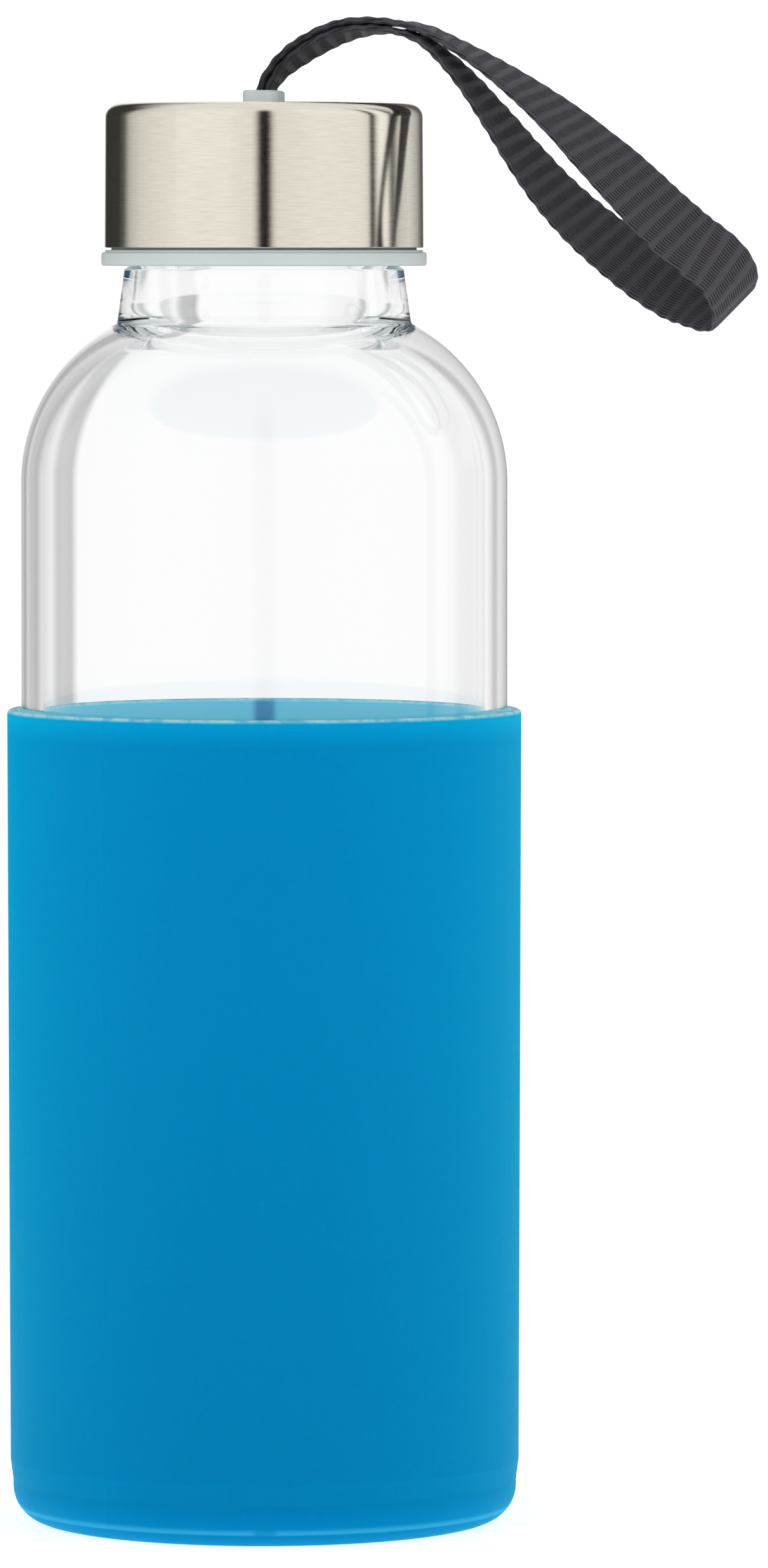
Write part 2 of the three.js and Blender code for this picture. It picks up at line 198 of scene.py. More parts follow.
class Nodes:
    """Builds one material's node tree."""

    def __init__(self, name):
        self.material = bpy.data.materials.new(name)
        self.material.use_nodes = True
        self.tree = self.material.node_tree
        self.shader = self.tree.nodes["Principled BSDF"]

    def add(self, kind, **settings):
        node = self.tree.nodes.new(kind)
        for key, value in settings.items():
            setattr(node, key, value)
        return node

    def link(self, source, target):
        self.tree.links.new(source, target)

    def fill(self, socket, value):
        if isinstance(value, bpy.types.NodeSocket):
            self.link(value, socket)
        else:
            socket.default_value = value

    def set(self, **values):
        """Constant values on the shader's own sockets, with _ for a space."""
        for key, value in values.items():
            self.shader.inputs[key.replace("_", " ")].default_value = value

    def math(self, operation, a, b=0.0, c=0.0):
        node = self.add("ShaderNodeMath", operation=operation)
        for socket, value in zip(node.inputs, (a, b, c)):
            self.fill(socket, value)
        return node.outputs[0]

    def place(self):
        return self.add("ShaderNodeTexCoord").outputs["Object"]

    def from_axis(self):
        """The distance from the bottle's axis."""
        flat = self.add("ShaderNodeVectorMath", operation="MULTIPLY")
        flat.inputs[1].default_value = (1, 1, 0)
        self.link(self.place(), flat.inputs[0])
        length = self.add("ShaderNodeVectorMath", operation="LENGTH")
        self.link(flat.outputs[0], length.inputs[0])
        return length.outputs["Value"]

    def scaled(self, scale):
        node = self.add("ShaderNodeMapping")
        node.inputs["Scale"].default_value = scale
        self.link(self.place(), node.inputs["Vector"])
        return node.outputs[0]

    def noise(self, vector, scale, detail=2.0, roughness=0.5):
        node = self.add("ShaderNodeTexNoise")
        self.link(vector, node.inputs["Vector"])
        node.inputs["Scale"].default_value = scale
        node.inputs["Detail"].default_value = detail
        node.inputs["Roughness"].default_value = roughness
        return node.outputs["Fac"]

    def remap(self, value, low, high, to_low, to_high):
        node = self.add("ShaderNodeMapRange")
        for socket, number in zip(node.inputs, (value, low, high, to_low, to_high)):
            self.fill(socket, number)
        return node.outputs[0]

    def ramp(self, value, stops):
        """stops are (position, colour)."""
        node = self.add("ShaderNodeValToRGB")
        elements = node.color_ramp.elements
        while len(elements) < len(stops):
            elements.new(0.5)
        for element, (position, colour) in zip(elements, stops):
            element.position = position
            element.color = (*colour, 1)
        self.fill(node.inputs[0], value)
        return node.outputs[0]

    def mix(self, share, first, second):
        """The colour first, turned into the plain colour second as share goes from 0 to 1."""
        node = self.add("ShaderNodeMix", data_type="RGBA")
        self.fill(node.inputs["Factor"], share)
        self.link(first, node.inputs[6])
        node.inputs[7].default_value = (*second, 1)
        return node.outputs[2]

    def bump(self, height, strength, distance):
        node = self.add("ShaderNodeBump")
        node.inputs["Strength"].default_value = strength
        node.inputs["Distance"].default_value = distance
        self.link(height, node.inputs["Height"])
        self.link(node.outputs[0], self.shader.inputs["Normal"])

    def feed(self, socket, value):
        self.link(value, self.shader.inputs[socket])


# ---- Webbing strap ----

COLLAR_TURN = math.radians(-5.5)  # about Z: the collar, its slot and the webbing in it
STRAP_X = 0.2 * MM
STRAP_ROUTE = np.array([
    (STRAP_X / MM, 0, 186.6),
    (STRAP_X / MM, 0, 188.8),
    (0.25, 0, 190.8),
    (0.9, 0, 192.5),
    (2.5, 0, 194.5),
    (5.6, 0, 196.8),
    (9.9, 0, 198.9),
    (13.9, 0, 199.7),
    (17.7, 0, 199.6),
    (21.6, 0, 198.5),
    (25, -0.4, 196.3),
    (28.6, -1.1, 193.4),
    (33.1, -2.1, 189.1),
    (37.5, -3.4, 184.5),
    (41.5, -4.7, 180.2),
    (45.6, -6, 176.2),
    (50.1, -7.2, 172.1),
    (54.5, -8.1, 168.6),
    (58.8, -8.7, 165.8),
    (62.1, -8.9, 162.6),
]) * MM  # the line midway between the two legs, from the collar to the end of the loop
LEG_OFFSET = 0.52 * MM  # from that line to each leg where they lie together
LOOP_OFFSET = 5.9 * MM  # and where the loop is widest
PARTING = (24 * MM, 67 * MM)  # the legs move apart between these distances
BEND_LENGTH = 10 * MM  # the loop's closed end
LOOP_TWIST = math.radians(58)  # how far the webbing has turned at the end of the loop
UPPER_TWIST_RANGE = (17 * MM, 77 * MM)  # the upper leg turns between these distances
LOWER_TWIST_RANGE = (15 * MM, 83 * MM)
ROOT_TWIST = math.radians(-5.5)  # a short turn back, between the collar and the loop
ROOT_TWIST_IN = (5 * MM, 12 * MM)
ROOT_TWIST_OUT = (14 * MM, 23 * MM)
COLLAR_TURN_OUT = (18 * MM, 30 * MM)  # the collar's own turn has gone after these
TAIL_OFFSETS = np.array([3.9, 3.2, 2.5, 1.8, 1.25, 0.85, 0.6]) * MM  # sideways, from the tail's end
TAIL_HEIGHTS = np.array([186.25, 186.25, 186.25, 186.3, 186.5, 186.95, 187.6]) * MM
TAIL_FOOT = 2 * MM  # distance along the mid-line where the tails begin
WEB_WIDTH = 10 * MM
WEB_THICKNESS = 0.9 * MM


def smoothstep(value, low, high):
    share = np.clip((np.asarray(value, float) - low) / (high - low), 0, 1)
    return share * share * (3 - 2 * share)


def unit(vectors):
    return vectors / np.linalg.norm(vectors, axis=-1, keepdims=True)


def smooth_curve(stops, per_span=24):
    """A centripetal Catmull-Rom curve through stops, as points."""
    padded = np.vstack([2 * stops[0] - stops[1], stops, 2 * stops[-1] - stops[-2]])
    points = []
    t = np.linspace(0, 1, per_span, endpoint=False)[:, None]
    for a, b, c, d in zip(padded, padded[1:], padded[2:], padded[3:]):
        ab, bc, cd = (np.linalg.norm(q - p) ** 0.5 for p, q in ((a, b), (b, c), (c, d)))
        leaving = ((b - a) / ab - (c - a) / (ab + bc) + (c - b) / bc) * bc
        reaching = ((c - b) / bc - (d - b) / (bc + cd) + (d - c) / cd) * bc
        points.append(
            b + leaving * t + (3 * (c - b) - 2 * leaving - reaching) * t**2
            + (2 * (b - c) + leaving + reaching) * t**3
        )
    return np.vstack([*points, stops[-1:]])


def along(points):
    return np.concatenate([[0], np.cumsum(np.linalg.norm(np.diff(points, axis=0), axis=1))])


def at(distance, distances, values):
    return np.stack([np.interp(distance, distances, values[:, k]) for k in range(3)], axis=-1)


MID = smooth_curve(STRAP_ROUTE)
MID_AT = along(MID)
MID_LENGTH = MID_AT[-1]
MID_TANGENT = unit(np.gradient(MID, MID_AT, axis=0))
BEND_START = MID_LENGTH - BEND_LENGTH


def mid_frame(distance):
    """The mid-line's points, its outward directions and its sideways ones."""
    tangent = unit(at(distance, MID_AT, MID_TANGENT))
    outward = unit(np.stack([-tangent[..., 2], 0 * tangent[..., 0], tangent[..., 0]], axis=-1))
    return at(distance, MID_AT, MID), outward, np.cross(outward, tangent)


def twist_at(distance, below):
    """How far the webbing has turned from lying square to the arch: below is 0 on the upper leg
    and 1 on the lower one."""
    collar = COLLAR_TURN * (1 - smoothstep(distance, *COLLAR_TURN_OUT))
    root = ROOT_TWIST * (smoothstep(distance, *ROOT_TWIST_IN) - smoothstep(distance, *ROOT_TWIST_OUT))
    upper = smoothstep(distance, *UPPER_TWIST_RANGE)
    lower = smoothstep(distance, *LOWER_TWIST_RANGE)
    return collar + root + LOOP_TWIST * (upper + (lower - upper) * below)


def leg(distance, turn):
    """The webbing's centre and width direction: turn is 0 on the upper leg, pi on the lower one."""
    centre, outward, sideways = mid_frame(distance)
    apart = LEG_OFFSET + (LOOP_OFFSET - LEG_OFFSET) * smoothstep(distance, *PARTING)
    middle = twist_at(distance, 0.5)[:, None]
    face = np.cos(middle) * outward - np.sin(middle) * sideways
    twist = twist_at(distance, (1 - np.cos(turn)) / 2)[:, None]
    width = np.sin(twist) * outward + np.cos(twist) * sideways
    return centre + face * (apart * np.cos(turn))[:, None], width


def tail(side):
    """One folded tail under the collar, from its end to the foot of its leg; side is -1 or 1."""
    across = np.array((math.cos(COLLAR_TURN), math.sin(COLLAR_TURN), 0))
    width = np.array((-math.sin(COLLAR_TURN), math.cos(COLLAR_TURN), 0))
    points = np.outer(side * TAIL_OFFSETS, across) + np.outer(TAIL_HEIGHTS, (0, 0, 1)) + (STRAP_X, 0, 0)
    return points, np.tile(width, (len(points), 1))


def webbing_line(step):
    """The whole webbing from tail to tail: its centres, tangents, widths and distances."""
    out = np.linspace(TAIL_FOOT, BEND_START, 320)
    round_turn = np.linspace(0, math.pi, 60)[1:-1]
    upper = leg(out, np.zeros(len(out)))
    bend = leg(BEND_START + BEND_LENGTH * np.sin(round_turn), round_turn)
    lower = leg(out[::-1], np.full(len(out), math.pi))
    start, end = tail(-1), tail(1)
    parts = [start, upper, bend, lower, (end[0][::-1], end[1])]
    centres = np.vstack([part[0] for part in parts])
    widths = np.vstack([part[1] for part in parts])
    distances = along(centres)
    rows = np.linspace(0, distances[-1], round(distances[-1] / step) + 1)
    centres, widths = at(rows, distances, centres), at(rows, distances, widths)
    tangents = unit(np.gradient(centres, rows, axis=0))
    widths = unit(widths - tangents * (widths * tangents).sum(axis=1, keepdims=True))
    return centres, tangents, widths, rows


RIB = 2.26 * MM  # from one row of slots to the next
YARNS = 23  # lengthwise yarns across the webbing
SLOT_SHARE = 0.76  # of each rib: the rest is its smooth band
RIB_HEIGHT = 0.07 * MM
GROOVE = 0.1 * MM  # depth of the slots between the yarns
SCALLOP = 0.16 * MM  # how far the selvage waves in and out
SKEW = 0.35 * MM  # how far the rows lean along the webbing, out to the selvage
ROW_STEP = RIB / 6
COLUMNS = 4 * YARNS + 1


def weave(yarn, rib):
    """The height of one face over its mean: a raised band in each rib and slots between the yarns."""
    band = np.cos(2 * math.pi * rib)
    slot = smoothstep(-band, -0.25, 0.45)
    between = 0.5 + 0.5 * np.cos(2 * math.pi * (yarn + 0.5 * (np.floor(rib) % 2)))
    return RIB_HEIGHT * band - GROOVE * slot * between**2


def webbing_mesh(name, material):
    centres, tangents, widths, rows = webbing_line(ROW_STEP)
    normals = np.cross(tangents, widths)
    rng = np.random.default_rng(7)  # a real edge wanders a little
    sway = np.interp(rows, np.linspace(0, rows[-1], 60), rng.normal(0, 0.04 * MM, 60))
    lean = np.interp(rows, np.linspace(0, rows[-1], 90), rng.normal(0, 0.08 * RIB, 90))
    half = WEB_WIDTH / 2 - SCALLOP / 2 + SCALLOP / 2 * np.sin(2 * math.pi * rows / RIB)
    share = np.linspace(-1, 1, COLUMNS)
    edge = np.sqrt(np.clip(1 - np.abs(share) ** 14, 0.02, 1))
    yarn = np.broadcast_to(share * YARNS / 2, (len(rows), COLUMNS))
    rib = (rows[:, None] + (lean[:, None] + SKEW) * share[None, :]) / RIB
    across = share[None, :] * half[:, None] + sway[:, None]
    middle = centres[:, None, :] + widths[:, None, :] * across[..., None]
    points = []
    for side, shift in ((1, 0), (-1, 0.5)):
        lift = side * (WEB_THICKNESS / 2 + weave(yarn, rib + shift)) * edge[None, :]
        points.append((middle + normals[:, None, :] * lift[..., None]).reshape(-1, 3))
    count = len(rows) * COLUMNS
    faces = []
    for i in range(len(rows) - 1):
        base = i * COLUMNS
        for k in range(COLUMNS - 1):
            a = base + k
            b = a + count
            faces.append((a, a + COLUMNS, a + COLUMNS + 1, a + 1))
            faces.append((b, b + 1, b + COLUMNS + 1, b + COLUMNS))
        last = base + COLUMNS - 1
        faces.append((base, base + count, base + count + COLUMNS, base + COLUMNS))
        faces.append((last, last + COLUMNS, last + count + COLUMNS, last + count))
    for start, flip in ((0, False), ((len(rows) - 1) * COLUMNS, True)):
        for k in range(COLUMNS - 1):
            a = start + k
            end = (a, a + 1, a + 1 + count, a + count)
            faces.append(end[::-1] if flip else end)
    piece = add_mesh(name, np.vstack(points), faces, material)
    layer = piece.data.uv_layers.new(name="weave")
    loops = np.zeros(len(piece.data.loops), np.int32)
    piece.data.loops.foreach_get("vertex_index", loops)
    flat = np.stack([yarn, rib], axis=-1).reshape(-1, 2)
    uv = np.vstack([flat, flat + (0, 0.5)])[loops]
    layer.data.foreach_set("uv", uv.astype(np.float32).reshape(-1))
    return piece


def webbing_material(ribs):
    """Polyester webbing: rows of dark slots between its yarns, with a smooth band after each row.

    Near the collar, at both ends of its ribs, it is darker: painted shade where the webbing comes out of
    the collar.
    """
    nodes = Nodes("webbing")
    weave_map = nodes.add("ShaderNodeUVMap", uv_map="weave").outputs["UV"]
    separate = nodes.add("ShaderNodeSeparateXYZ")
    nodes.link(weave_map, separate.inputs[0])
    across, lengthwise = separate.outputs[0], separate.outputs[1]
    row = nodes.math("FLOOR", lengthwise)
    stagger = nodes.math("MULTIPLY", nodes.math("MODULO", row, 2.0), 0.5)
    wander = nodes.remap(nodes.noise(weave_map, 0.7, 2.0), 0.3, 0.7, -0.06, 0.06)
    yarn = nodes.math("ADD", nodes.math("ADD", across, stagger), wander)
    to_slot = nodes.math("ABSOLUTE", nodes.math("SUBTRACT", nodes.math("FRACT", yarn), 0.5))
    to_row = nodes.math("ABSOLUTE", nodes.math("SUBTRACT", nodes.math("FRACT", lengthwise), 0.5))
    row_end = nodes.remap(nodes.noise(weave_map, 2.2, 1.0), 0.3, 0.7, -0.05, 0.05)
    in_slot = nodes.remap(to_slot, 0.25, 0.44, 0, 1)
    in_row = nodes.remap(nodes.math("ADD", to_row, row_end), SLOT_SHARE / 2, SLOT_SHARE / 2 - 0.12, 0, 1)
    slot = nodes.math("MULTIPLY", in_slot, in_row)
    fibres = nodes.add("ShaderNodeMapping")
    fibres.inputs["Scale"].default_value = (7, 1.5, 1)
    nodes.link(weave_map, fibres.inputs["Vector"])
    strands = nodes.noise(fibres.outputs[0], 1.0, 3.0, 0.6)
    uneven = nodes.math("ADD", slot, nodes.remap(strands, 0.3, 0.7, -0.12, 0.12))
    colour = nodes.ramp(uneven, [
        (0.0, (0.067, 0.063, 0.075)),
        (0.3, (0.049, 0.046, 0.055)),
        (0.8, (0.005, 0.005, 0.006)),
    ])
    # painted shade: within 5 to 14 ribs of either end, by the collar, the colour darkens towards near black
    to_end = nodes.math("MINIMUM", lengthwise, nodes.math("SUBTRACT", ribs, lengthwise))
    painted_collar_shade = nodes.remap(to_end, 5, 14, 0.5, 0)
    nodes.feed("Base Color", nodes.mix(painted_collar_shade, colour, (0.004, 0.004, 0.005)))
    nodes.feed("Roughness", nodes.remap(strands, 0.2, 0.8, 0.5, 0.75))
    nodes.set(Sheen_Weight=0.1, Sheen_Roughness=0.4, Specular_IOR_Level=0.3)
    nodes.shader.inputs["Sheen Tint"].default_value = (0.75, 0.78, 0.9, 1)
    height = nodes.math("SUBTRACT", nodes.math("MULTIPLY", strands, 0.3), slot)
    nodes.bump(height, 0.8, 0.1 * MM)
    return nodes.material


def make_strap():
    ribs = webbing_line(ROW_STEP)[3][-1] / RIB
    strap = webbing_mesh("wrist_strap_webbing", webbing_material(ribs))
    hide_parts("wrist_strap", "strap_root")
    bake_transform(strap)


make_strap()


# ---- Silicone sleeve ----

SLEEVE_RADIUS = SLEEVE_HIGH[0]
SLEEVE_TOP = SLEEVE_HIGH[2]
SLEEVE_FLOOR = 2 * MM
SLEEVE_BORE = 32.8 * MM
SLEEVE_FOOT = 33.7 * MM  # radius below the small step near the bottom
SLEEVE_LOW_RADIUS = 34.07 * MM
RIM_GLOW = 0.34  # painted light: an emission that stands in for the light coming through the wall behind the glass
DEEP_GLOW = 0.13  # the same, further down
GLOW_GAP = (1.0 * MM, 1.9 * MM)  # from the middle: the glow rises between these, out of the painted dark strip
PARTING_LINE = math.radians(-90 - 38.4)  # where the mould's halves met, and again opposite


def sleeve_angles():
    """Even angles, with more of them at the two parting lines."""
    fine = np.radians([-0.5, -0.3, -0.12, 0, 0.12, 0.3, 0.5])
    lines = np.concatenate([PARTING_LINE + fine, PARTING_LINE + math.pi + fine]) % (2 * math.pi)
    return np.unique(np.concatenate([even_angles(), lines]))


def parting_bead(angles, radius, z):
    """The thin raised line that the mould leaves."""
    off = (angles - PARTING_LINE + math.pi / 2) % math.pi - math.pi / 2
    bead = 0.05 * MM * np.exp(-((off / math.radians(0.2)) ** 2))
    return bead * float(radius > SLEEVE_BORE + 0.2 * MM)


def silicone_material():
    """Blue silicone, lighter towards its rim as painted light, with a painted highlight in dashes along the
    top edge.

    Its inner face glows a little behind the glass, as painted light for light that comes through the wall.
    The glow is less in an upright strip, painted shade for the reflected gap between two boxes of the
    studio.
    """
    nodes = Nodes("silicone")
    place = nodes.place()
    cloud = nodes.noise(place, 28, 3.0)
    mottle = nodes.noise(place, 900, 2.0)
    separate = nodes.add("ShaderNodeSeparateXYZ")
    nodes.link(place, separate.inputs[0])
    height = nodes.remap(separate.outputs[2], 0.0, SLEEVE_TOP, 0, 1)
    # painted light: the colour lightens with height, as light falls stronger near the rim; the cloud adds
    # random tone
    tone_and_painted_light = nodes.ramp(nodes.math("ADD", height, nodes.remap(cloud, 0.3, 0.7, -0.05, 0.05)), [
        (0.0, (0.0, 0.24, 0.5)),
        (0.6, (0.0, 0.272, 0.545)),
        (1.0, (0.0, 0.285, 0.565)),
    ])
    # painted light: a lighter band over the top few millimetres, under the rim
    painted_rim_light = nodes.mix(nodes.remap(height, 0.966, 0.99, 0, 1), tone_and_painted_light, (0.0, 0.36, 0.66))
    # painted highlight: whitish dashes along the rim's top edge, broken up by noise
    painted_rim_highlight = nodes.remap(nodes.noise(place, 420, 3.0, 0.6), 0.4, 0.56, 0.45, 1)
    edge = nodes.remap(separate.outputs[2], SLEEVE_TOP - 0.5 * MM, SLEEVE_TOP - 0.15 * MM, 0, 1)
    nodes.feed("Base Color", nodes.mix(nodes.math("MULTIPLY", painted_rim_highlight, edge), painted_rim_light, (0.5, 0.8, 1.0)))
    inside = nodes.remap(nodes.from_axis(), SLEEVE_BORE + 0.1 * MM, SLEEVE_BORE + 0.4 * MM, 1, 0)
    # painted shade: in an upright strip at the middle the glow falls to 0.35
    painted_strip_shade = nodes.remap(nodes.math("ABSOLUTE", separate.outputs[0]), *GLOW_GAP, 0.35, 1)
    glow = nodes.math("MULTIPLY", inside, nodes.remap(height, 0.9, 0.97, DEEP_GLOW, RIM_GLOW))
    above = nodes.remap(separate.outputs[2], SLEEVE_FLOOR - 0.3 * MM, SLEEVE_FLOOR - 0.1 * MM, 0, 1)
    glow = nodes.math("MULTIPLY", nodes.math("MULTIPLY", glow, painted_strip_shade), above)
    # painted light: the inner face glows though it is no lamp
    nodes.feed("Emission Strength", glow)
    nodes.shader.inputs["Emission Color"].default_value = (0.2, 1.0, 0.92, 1)
    nodes.feed("Roughness", nodes.remap(mottle, 0.3, 0.7, 0.55, 0.65))
    nodes.set(
        IOR=1.41, Specular_IOR_Level=0.03, Subsurface_Weight=1.0, Subsurface_Scale=4 * MM,
    )
    nodes.shader.inputs["Subsurface Radius"].default_value = (0.15, 0.6, 1.0)
    nodes.bump(mottle, 0.12, 0.05 * MM)
    return nodes.material


def make_sleeve():
    corners = [
        (0, 0), (SLEEVE_FOOT, 0, 4.8 * MM), (SLEEVE_FOOT, 5.6 * MM, 2 * MM),
        (SLEEVE_LOW_RADIUS, 8.4 * MM, 2 * MM), (SLEEVE_RADIUS, SLEEVE_TOP, 0.62 * MM),
        (SLEEVE_BORE, SLEEVE_TOP, 0.62 * MM), (SLEEVE_BORE, SLEEVE_FLOOR, 5.3 * MM), (0, SLEEVE_FLOOR),
    ]
    sleeve = turned(
        "silicone_sleeve_skin", rounded(corners, 10), silicone_material(),
        relief=parting_bead, angles=sleeve_angles(),
    )
    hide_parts("silicone_sleeve")
    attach(sleeve, "sleeve")


make_sleeve()


# ---- Glass ----

GLASS_RADIUS = 32.5 * MM
GLASS_WALL = 2.9 * MM
GLASS_BASE = GLASS_LOW[2]
GLASS_RIM = GLASS_HIGH[2]
SHOULDER_Z = 139 * MM  # where the straight wall ends
SHOULDER_ARC = 24 * MM
SHOULDER_SWEEP = 62  # degrees of that arc, up to the neck
NECK_FOOT = (19.6 * MM, 160.5 * MM)  # radius and height
NECK_TOP = (18.65 * MM, 167.4 * MM)
FINISH_RADIUS = 17.3 * MM
BORE = 14.2 * MM
BORE_FILLET = 5 * MM  # rounds the edge where the bore opens into the shoulder
PITCH = 3 * MM
THREAD_START = 172.5 * MM
THREAD_FROM = THREAD_START - 1.5 * MM  # the glass has fine rings from here
THREAD_TO = 179.5 * MM
THREAD_HEIGHT = 1.3 * MM
THREAD_FOOT = 1.7 * MM
THREAD_CREST = 0.7 * MM


def thread(angles, z, start, turns):
    """Height of a right-hand ridge that fades at both ends, at each angle of a ring."""
    height = np.zeros(len(angles))
    fade = 0.12
    for k in range(math.ceil(turns)):
        share = (angles / (2 * math.pi) + k) / turns
        off = np.abs(z - (start + share * turns * PITCH))
        slope = np.clip((THREAD_FOOT / 2 - off) / ((THREAD_FOOT - THREAD_CREST) / 2), 0, 1)
        rise = np.clip(np.minimum(share / fade, (1 - share) / fade), 0, 1)
        height = np.maximum(height, THREAD_HEIGHT * smoothstep(slope, 0, 1) * rise)
    return height


def glass_thread(angles, radius, z):
    outside = radius > BORE + 1.5 * MM and z > NECK_TOP[1] + 1.5 * MM
    return thread(angles, z, THREAD_START, 1.5) if outside else np.zeros(len(angles))


def glass_material():
    nodes = Nodes("clear_glass")
    nodes.set(Base_Color=(0.992, 0.993, 0.994, 1), Transmission_Weight=1.0, IOR=1.474)
    ripple = nodes.noise(nodes.scaled((1, 1, 0.25)), 60, 1.0)
    nodes.feed("Roughness", nodes.remap(ripple, 0.0, 1.0, 0.0, 0.015))
    nodes.bump(ripple, 0.1, 0.2 * MM)
    return nodes.material


def make_glass():
    middle = (GLASS_RADIUS - SHOULDER_ARC, SHOULDER_Z)
    inner_arc = SHOULDER_ARC - GLASS_WALL
    reach = inner_arc + BORE_FILLET
    inner_sweep = math.degrees(math.acos((BORE + BORE_FILLET - middle[0]) / reach))
    edge = (BORE + BORE_FILLET, middle[1] + reach * math.sin(math.radians(inner_sweep)))
    floor = GLASS_BASE + 5 * MM
    inner = GLASS_RADIUS - GLASS_WALL
    foot = rounded([
        (0, GLASS_BASE + 1.5 * MM), (14 * MM, GLASS_BASE + 1.5 * MM, 8 * MM), (21 * MM, GLASS_BASE, 4 * MM),
        (GLASS_RADIUS, GLASS_BASE, 5 * MM), (GLASS_RADIUS, 40 * MM),
    ], 10)[:-1]
    shoulder = arc(middle, SHOULDER_ARC, 0, SHOULDER_SWEEP, 28)
    collar = rounded([
        shoulder[-1], (NECK_FOOT[0], NECK_FOOT[1], 0.8 * MM), (NECK_TOP[0], NECK_TOP[1], 0.3 * MM),
        (FINISH_RADIUS, NECK_TOP[1] + 1 * MM, 0.4 * MM), (FINISH_RADIUS, THREAD_FROM),
    ], 6)[1:]
    threads = line((FINISH_RADIUS, THREAD_FROM), (FINISH_RADIUS, THREAD_TO), 46)
    rim = rounded([
        (FINISH_RADIUS, THREAD_TO), (FINISH_RADIUS, GLASS_RIM, 1.1 * MM), (BORE, GLASS_RIM, 1.1 * MM),
        (BORE, NECK_TOP[1]),
    ], 8)
    opening = arc(edge, BORE_FILLET, 180, 180 + inner_sweep, 14)
    inside = arc(middle, inner_arc, inner_sweep, 0, 28)[1:]
    base = rounded([(inner, 60 * MM), (inner, floor, 6 * MM), (0, floor)], 10)[1:]
    outline = [*foot, *shoulder, *collar, *threads, *rim, *opening, *inside, *base]
    glass = turned("glass_body", outline, glass_material(), relief=glass_thread)
    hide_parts("glass_bottle")
    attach(glass, "bottle")


make_glass()


# ---- Cap: gasket, inner cap, steel shell ----

FLANGE_RADIUS = CAP_HIGH[0]
STEP_RADIUS = 21.2 * MM
STEP_TOP = 170 * MM
CAP_BORE = 19 * MM
CAP_SKIRT = 20.35 * MM
CAP_ROOF = 183.8 * MM
FLANGE_TOP = 169.7 * MM
CAP_THREAD = (169.6 * MM, 179.4 * MM)  # the bore has fine rings between these heights
CAP_GLOW = 0.5  # painted light: an emission in the cap's bore, standing in for light that comes through the plastic into the cap
# painted light: the whole strap collar glows a little to look lighter
COLLAR_GLOW = 0.06
SHELL_WALL = 0.5 * MM
SHELL_CORNER = 1.9 * MM
SHELL_HEAD = 21.15 * MM  # the shell's radius at its top, a little less than at its foot


def gasket_material():
    nodes = Nodes("gasket_rubber")
    mottle = nodes.noise(nodes.place(), 700, 2.0)
    nodes.feed("Base Color", nodes.ramp(mottle, [(0.3, (0.78, 0.80, 0.80)), (0.7, (0.84, 0.85, 0.85))]))
    nodes.feed("Roughness", nodes.remap(mottle, 0.3, 0.7, 0.5, 0.6))
    nodes.set(Subsurface_Weight=0.1, Subsurface_Scale=1 * MM)
    return nodes.material


def make_gasket():
    outer, inner = GASKET_HIGH[0], 12.5 * MM
    low, high = GASKET_LOW[2], GASKET_HIGH[2]
    lip = 0.35 * MM
    corners = [
        (inner, low + lip, 0.2 * MM), (14 * MM, low + lip, 0.2 * MM), (14.6 * MM, low, 0.25 * MM),
        (15.4 * MM, low, 0.25 * MM), (16 * MM, low + lip, 0.2 * MM), (outer, low + lip, 0.2 * MM),
        (outer, high, 0.2 * MM), (inner, high, 0.2 * MM),
    ]
    gasket = turned("cap_gasket_ring", rounded(corners, 4), gasket_material())
    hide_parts("cap_gasket")
    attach(gasket, "seal")


def plastic_material(name, glow=0.0):
    """Pale blue-grey moulded polypropylene, a little translucent, glowing by glow near the axis as painted
    light.
    """
    nodes = Nodes(name)
    mottle = nodes.noise(nodes.place(), 350, 3.0)
    cloud = nodes.noise(nodes.place(), 60, 2.0)
    nodes.feed("Base Color", nodes.ramp(cloud, [(0.3, (0.58, 0.65, 0.645)), (0.7, (0.62, 0.695, 0.69))]))
    nodes.feed("Roughness", nodes.remap(mottle, 0.3, 0.7, 0.36, 0.46))
    nodes.set(IOR=1.49, Subsurface_Weight=0.3, Subsurface_Scale=2 * MM)
    nodes.shader.inputs["Subsurface Radius"].default_value = (0.8, 1.0, 1.0)
    # painted light: the surface near the axis glows as if it were a lamp
    inside = nodes.remap(nodes.from_axis(), CAP_BORE + 0.2 * MM, CAP_BORE + 0.6 * MM, glow, 0)
    nodes.feed("Emission Strength", inside)
    nodes.shader.inputs["Emission Color"].default_value = (0.97, 1.0, 1.0, 1)
    nodes.bump(mottle, 0.08, 0.05 * MM)
    return nodes.material


def cap_thread(angles, radius, z):
    inside = radius < CAP_BORE + 0.01 * MM and CAP_THREAD[0] - 0.1 * MM < z < CAP_THREAD[1] + 0.1 * MM
    return -thread(angles, z, THREAD_START - PITCH / 2, 2) if inside else np.zeros(len(angles))


def make_inner_cap(material):
    low = CAP_LOW[2]
    thread_low, thread_high = (CAP_BORE, CAP_THREAD[0]), (CAP_BORE, CAP_THREAD[1])
    skirt = rounded([
        thread_low, (CAP_BORE, low, 0.5 * MM), (FLANGE_RADIUS, low, 0.35 * MM),
        (FLANGE_RADIUS, FLANGE_TOP, 0.3 * MM), (STEP_RADIUS, FLANGE_TOP),
        (STEP_RADIUS, STEP_TOP, 0.12 * MM), (CAP_SKIRT, STEP_TOP),
        (CAP_SKIRT, CAP_HIGH[2], 0.8 * MM), (0, CAP_HIGH[2]),
    ], 5)
    roof = rounded([(0, CAP_ROOF), (CAP_BORE, CAP_ROOF, 0.5 * MM), thread_high], 5)
    threads = line(thread_high, thread_low, 48)
    inner = turned("inner_cap_moulding", [*roof, *threads, *skirt], material, relief=cap_thread)
    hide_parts("inner_cap")
    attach(inner, "cap")


